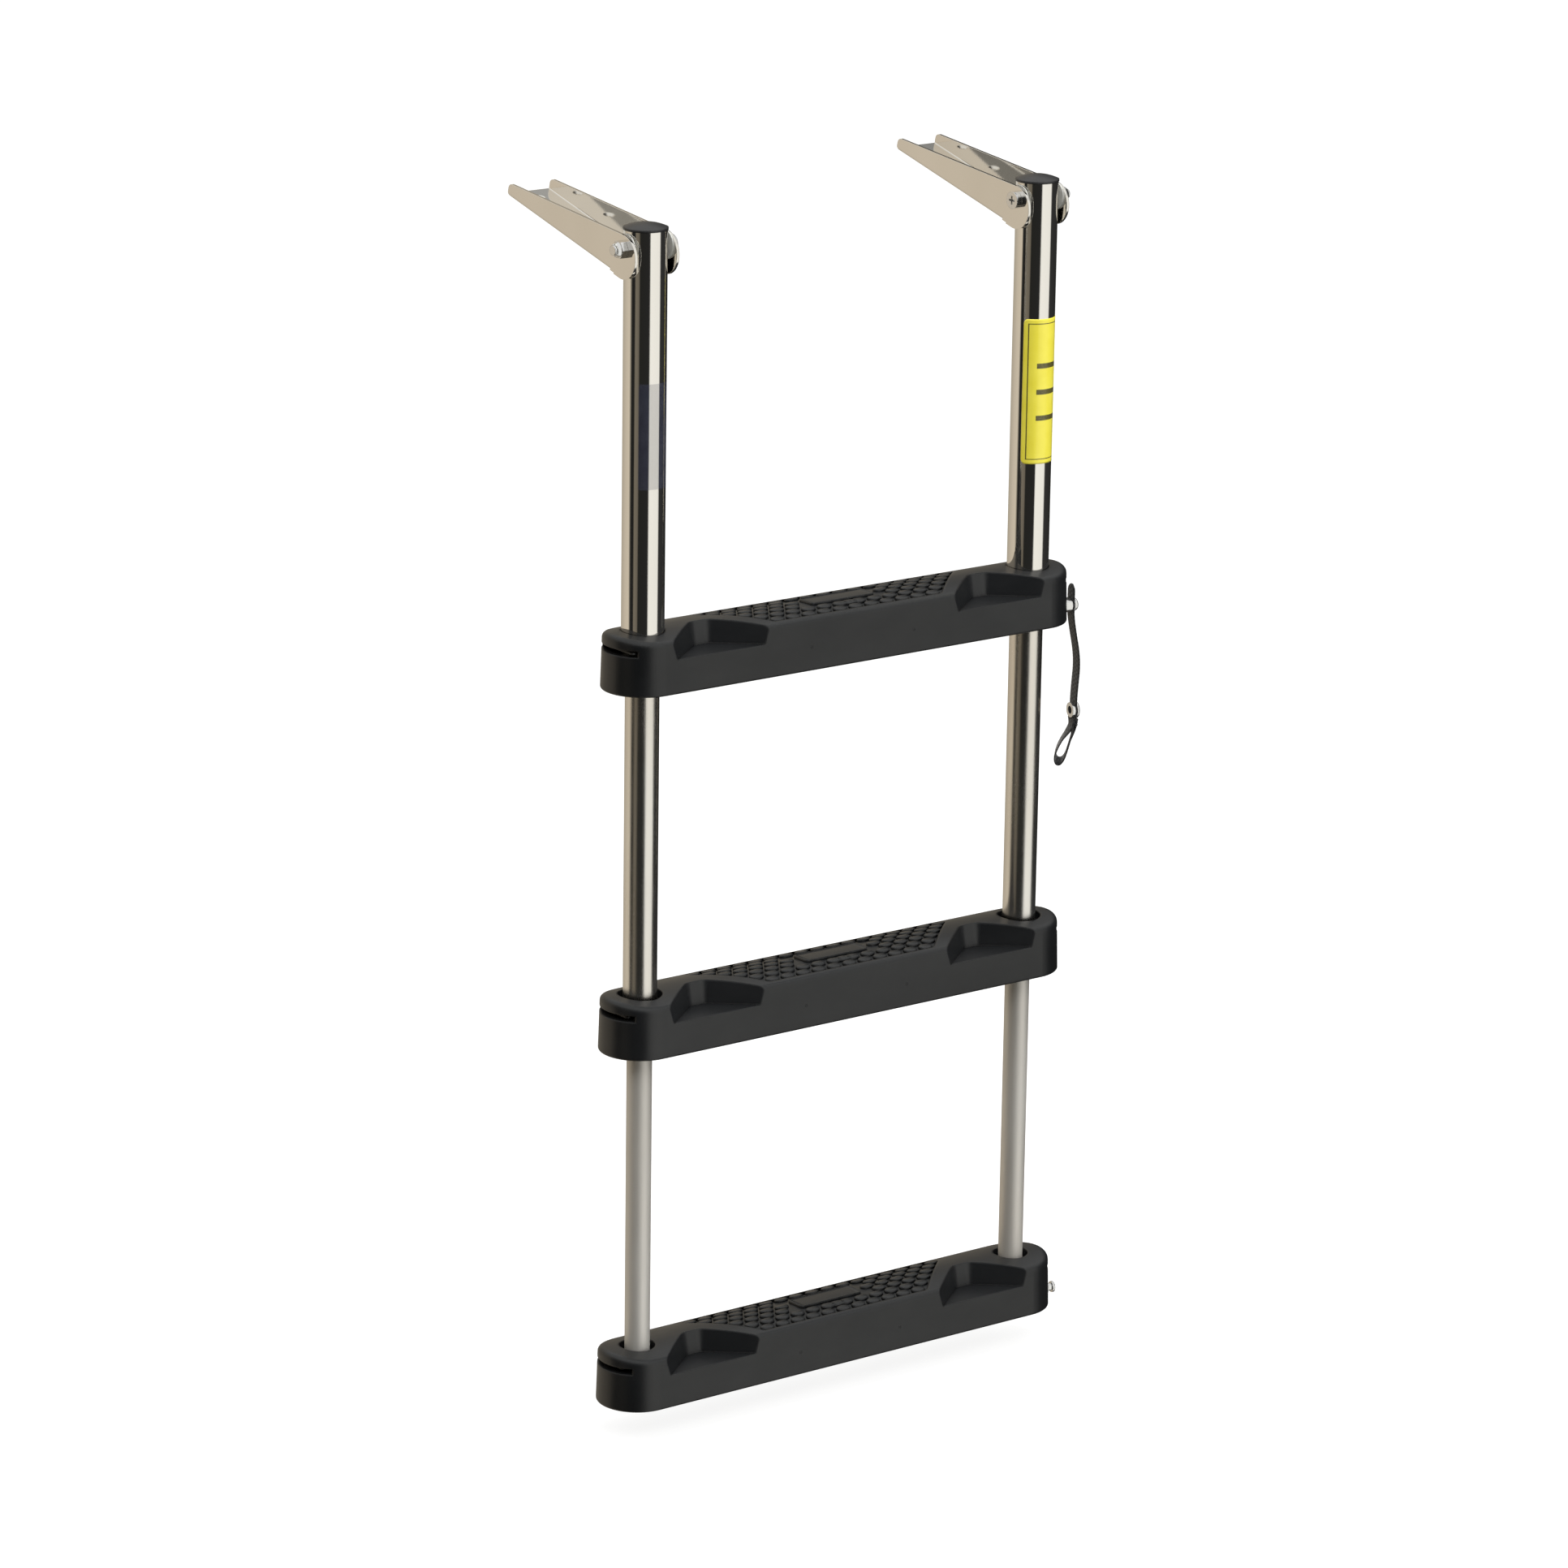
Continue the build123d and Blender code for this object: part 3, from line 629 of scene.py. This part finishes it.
def band(name, points, count, across, round_start=False):
    """A woven band along the points; across(share) is the direction of its width there."""
    line, length = smooth_line(points, count)
    section = band_section()
    n = len(section)
    vertices, uvs, faces = [], [], []
    for i, point in enumerate(line):
        done = length * i / count
        ahead = (line[min(i + 1, count)] - line[max(i - 1, 0)]).normalized()
        side = across(i / count)
        side = (side - ahead * side.dot(ahead)).normalized()
        normal = ahead.cross(side).normalized()
        short = max(0.0, 1 - done / (STRAP_WIDE / 2)) if round_start else 0.0
        narrow = max(TAB_NARROWEST, math.sqrt(1 - short * short))
        ripple = RIPPLE * math.sin(TURN * i / RIPPLE_PERIOD)
        for w, t in section:
            bulge = ripple if t > 0 else -ripple
            vertices.append(point + side * w * narrow + normal * (t + bulge))
            uvs.append((w, done))
    for i in range(count):
        for k in range(n):
            m = (k + 1) % n
            faces.append((i * n + k, (i + 1) * n + k, (i + 1) * n + m, i * n + m))
    faces.append(tuple(range(n)))
    faces.append(tuple(reversed(range(count * n, (count + 1) * n))))
    piece = add_piece(name, vertices, faces, "upper_section", "black_webbing", uvs)
    return piece, length


def make_strap():
    """Tab, wave and snap stretch in one band, then the loop folded back on itself."""
    straight = [
        at(42.0, 28), at(41.8, 23), at(41.7, 16), at(41.7, 8), at(41.9, 0), at(44.3, -14),
        at(47.6, -30), at(48.7, -44), at(47.3, -60), at(SEAM_OUT, -74),
        at(SEAM_OUT, STRAP_END + 6), at(SEAM_OUT, STRAP_END),
    ]
    main, main_length = band(
        "storage_strap_band", straight, BAND_RINGS, lambda share: ACROSS, round_start=True
    )
    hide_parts("storage_strap")

    # the loop hangs askew: it runs down and away, and opens sideways
    run = (ACROSS * 0.42 - OUT * 0.06 - UP * 0.90).normalized()
    turned = (ACROSS * 0.90 + OUT * 0.42 - UP * 0.12).normalized()
    turned = (turned - run * turned.dot(run)).normalized()
    apart = run.cross(turned)

    def hanging(out, down):
        return at(SEAM_OUT, STRAP_END) + (apart * out + run * down) * MM

    def width_turn(share):
        twisted = min(1.0, min(share, 1 - share) / 0.2)
        return ACROSS.lerp(turned, twisted)

    route = [
        at(SEAM_OUT + PLY, STRAP_END + 7), at(SEAM_OUT + PLY, STRAP_END + 1),
        hanging(1.6, 7), hanging(1.9, 16), hanging(2.2, 27), hanging(2.0, 34), hanging(0.2, 39.5),
        hanging(-3.6, 40.0), hanging(-6.2, 35), hanging(-6.6, 27), hanging(-5.2, 16),
        hanging(-3.0, 7), at(SEAM_OUT - PLY, STRAP_END + 1), at(SEAM_OUT - PLY, STRAP_END + 7),
    ]
    loop, loop_length = band("storage_strap_loop", route, LOOP_RINGS, width_turn)
    make_stitches()


def tube_along(points, radius, sides=6):
    """Vertices and faces of a closed round tube."""
    vertices, last = [], len(points) - 1
    for i, point in enumerate(points):
        ahead = (points[min(i + 1, last)] - points[max(i - 1, 0)]).normalized()
        side = ahead.orthogonal().normalized()
        up = ahead.cross(side)
        for k in range(sides):
            t = TURN * k / sides
            vertices.append(point + (side * math.cos(t) + up * math.sin(t)) * radius)
    faces = ring_faces(len(points), sides)
    faces.append(tuple(reversed(range(sides))))
    faces.append(tuple(range(last * sides, len(points) * sides)))
    return vertices, faces


def stitch(up, across, turn_up, turn_across):
    """One stitch on the outer face: it comes out, runs over the webbing and goes in again."""
    return tube_along([
        at(STITCH_OUT + rise, up + run * turn_up, across + run * turn_across) for run, rise in STITCH
    ], THREAD_RADIUS)


def make_stitches():
    """Box stitching through the fold above the loop."""
    stitches = []
    for across in (-4.4, 4.4):
        for i in range(4):
            stitches.append(stitch(STRAP_END + 1.5 + 2.4 * i, across, 1, 0))
    for up in (STRAP_END + 0.2, STRAP_END + 10.4):
        for across in (-3.1, -1.0, 1.0, 3.1):
            stitches.append(stitch(up, across, 0, 1))
    return add_piece(
        "strap_stitching", *gather(stitches), "upper_section", "black_webbing",
        material=thread_fibre(),
    )


# Bolt ends, from the bolt's radius and the end of its nut
THREAD_PITCH, THREAD_RISE, THREAD_ROOT = 0.6 * MM, 0.18 * MM, -0.02 * MM
THREAD_START = -1.0 * MM
INSERT = ((0.2, -1.2), (0.2, 0.25), (0.8, 0.4), (1.1, 0.2), (1.1, -1.2))    # millimetres


def lathe(profile, centre, axis, steps=48):
    """Turns (radius, along) pairs about an axis through the centre."""
    axis = Vector(axis)
    side = axis.orthogonal().normalized()
    up = axis.cross(side)
    vertices = []
    for radius, along in profile:
        for k in range(steps):
            t = TURN * k / steps
            spoke = (side * math.cos(t) + up * math.sin(t)) * radius
            vertices.append(Vector(centre) + axis * along + spoke)
    return vertices, ring_faces(len(profile), steps)


def make_bolt_ends():
    """Thread crests on the bolt ends, and the nylon ring in the collar of each lock nut."""
    threads, rings = [], []
    nut_low, nut_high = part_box("pivot_lock_nuts")
    bolt_low, bolt_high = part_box("pivot_bolts")
    insert = [(BOLT_R + radius * MM, along * MM) for radius, along in INSERT]
    for side, nut_end, bolt_end in ((-1, -nut_low.x, -bolt_low.x), (1, nut_high.x, bolt_high.x)):
        start = nut_end + THREAD_START
        profile = [(BOLT_R + THREAD_ROOT, 0.0)]
        for i in range(int((bolt_end - start) / THREAD_PITCH)):
            profile += [
                (BOLT_R + THREAD_RISE, (i + 0.35) * THREAD_PITCH),
                (BOLT_R + THREAD_RISE, (i + 0.5) * THREAD_PITCH),
                (BOLT_R + THREAD_ROOT, (i + 0.9) * THREAD_PITCH),
            ]
        threads.append(lathe(profile, (side * start, 0, 0), (side, 0, 0)))
        rings.append(lathe(insert, (side * nut_end, 0, 0), (side, 0, 0)))
    add_piece("pivot_bolt_threads", *gather(threads), "brackets", "fastener_steel")
    add_piece("lock_nut_inserts", *gather(rings), "brackets", "clear_nylon")


# Scene ---------------------------------------------------------------------------------------

LENS, SENSOR = 143.12, 36.0
CAMERA_TURN, CAMERA_TILT, CAMERA_ROLL = map(math.radians, (36.39, 16.03, -0.823))
CAMERA_AWAY = 5.10635
CAMERA_AIM = Vector((-0.05345, 0.0, 0.50692 + UNDERSIDE["lower"]))
VIEW_END = 100
FLOOR_HALF, FLOOR_BELOW = 12.0, 0.03

# Lamps: name, place, size in metres and power in watts
LAMPS = (
    ("key", (-1.2, -2.6, 1.8), 1.6, 38),
    ("fill", (2.4, -2.0, 0.6), 1.4, 16),
    ("top", (0.3, -0.6, 2.4), 2.0, 60),
)


def make_camera():
    """Looks down at the ladder from the front, left of the middle, with a slight roll."""
    ahead = Vector((
        math.sin(CAMERA_TURN) * math.cos(CAMERA_TILT),
        math.cos(CAMERA_TURN) * math.cos(CAMERA_TILT),
        -math.sin(CAMERA_TILT),
    ))
    level = Vector((math.cos(CAMERA_TURN), -math.sin(CAMERA_TURN), 0))
    down = ahead.cross(level)
    right = level * math.cos(CAMERA_ROLL) + down * math.sin(CAMERA_ROLL)
    up = level * math.sin(CAMERA_ROLL) - down * math.cos(CAMERA_ROLL)
    data = bpy.data.cameras.new("camera")
    data.lens, data.sensor_width, data.clip_end = LENS, SENSOR, VIEW_END
    camera = bpy.data.objects.new("camera", data)
    bpy.context.scene.collection.objects.link(camera)
    turn = Matrix((right, up, -ahead)).transposed()
    camera.matrix_world = Matrix.Translation(CAMERA_AIM - ahead * CAMERA_AWAY) @ turn.to_4x4()
    bpy.context.scene.camera = camera


# Studio round the ladder: compass bands of light and dark, in degrees anticlockwise from +X
STUDIO = (
    (0, (0.028, 0.028, 0.028)), (14, (0.022, 0.022, 0.022)), (49, (0.03, 0.03, 0.028)),
    (55, (0.44, 0.39, 0.31)), (90, (0.48, 0.425, 0.34)), (125, (0.62, 0.545, 0.44)),
    (152, (0.68, 0.60, 0.48)), (158, (0.30, 0.27, 0.22)), (163, (0.018, 0.018, 0.017)),
    (180, (0.018, 0.018, 0.017)), (184, (0.20, 0.175, 0.135)), (203, (0.16, 0.14, 0.11)),
    (207, (0.02, 0.02, 0.018)), (258, (0.022, 0.022, 0.022)), (263, (1.0, 0.99, 0.94)),
    (315, (0.96, 0.95, 0.90)), (321, (0.035, 0.035, 0.035)), (360, (0.028, 0.028, 0.028)),
)

# Broad soft light overhead; it starts and is full at these heights on a unit sphere
OVERHEAD = (0.88, 0.88, 0.86, 1)
OVERHEAD_START, OVERHEAD_FULL = 0.42, 0.70


def make_world():
    """The studio lights the ladder and shows in it; the camera itself sees white paper."""
    world = bpy.data.worlds.new("studio")
    bpy.context.scene.world = world
    world.use_nodes = True
    world.node_tree.nodes.clear()
    g = Nodes(world.node_tree)
    coords = g.add("ShaderNodeTexCoord")
    split = g.add("ShaderNodeSeparateXYZ", {"Vector": coords.outputs["Generated"]})
    turn = g.math("ARCTAN2", split.outputs["Y"], split.outputs["X"])
    share = g.math("FRACT", g.math("MULTIPLY_ADD", turn, 1 / TURN, 1.0))
    bands = g.ramp(share, [(degrees / 360, colour) for degrees, colour in STUDIO])
    height = g.add(
        "ShaderNodeMapRange", {"Value": split.outputs["Z"]}, interpolation_type="SMOOTHSTEP",
        values={"From Min": OVERHEAD_START, "From Max": OVERHEAD_FULL},
    )
    studio = g.add("ShaderNodeBackground", {"Color": g.mix(height.outputs[0], bands, OVERHEAD)})
    paper = g.add("ShaderNodeBackground", values={"Color": (1, 1, 1, 1)})
    ray = g.add("ShaderNodeLightPath").outputs["Is Camera Ray"]
    pick = g.add("ShaderNodeMixShader", {0: ray, 1: studio.outputs[0], 2: paper.outputs[0]})
    g.add("ShaderNodeOutputWorld", {"Surface": pick.outputs[0]})


def make_lamp(name, place, size, power):
    """A round lamp aimed at the middle of the ladder, which reflections don't show."""
    data = bpy.data.lights.new(name, "AREA")
    data.shape, data.size, data.energy = "DISK", size, power
    lamp = bpy.data.objects.new(name, data)
    bpy.context.scene.collection.objects.link(lamp)
    lamp.location = place
    aim = Vector((0, 0, UNDERSIDE["lower"] / 2)) - Vector(place)
    lamp.rotation_euler = aim.to_track_quat("-Z", "Y").to_euler()
    lamp.visible_glossy = False


def make_floor():
    """Lies a little below the lowest step; reflections and diffuse light don't show it."""
    mesh = bpy.data.meshes.new("floor")
    z = UNDERSIDE["lower"] - FLOOR_BELOW
    corners = [(x * FLOOR_HALF, y * FLOOR_HALF, z) for x, y in ((-1, -1), (1, -1), (1, 1), (-1, 1))]
    mesh.from_pydata(corners, [], [(0, 1, 2, 3)])
    mesh.materials.append(pale_floor())
    floor = bpy.data.objects.new("floor", mesh)
    bpy.context.scene.collection.objects.link(floor)
    floor.visible_glossy = False
    floor.visible_diffuse = False


dress_nodes()
for step in UNDERSIDE:
    make_tread(step)
    make_pips(step)
curved_skin("yellow_label", "tube_label", 1, *LABEL, "label_yellow")
curved_skin("protective_film", "tube_film", -1, *FILM, "clear_film")
make_strap()
make_bolt_ends()
make_camera()
make_world()
for lamp in LAMPS:
    make_lamp(*lamp)
make_floor()
bpy.context.scene.view_settings.view_transform = "Standard"

bpy.context.view_layer.update()
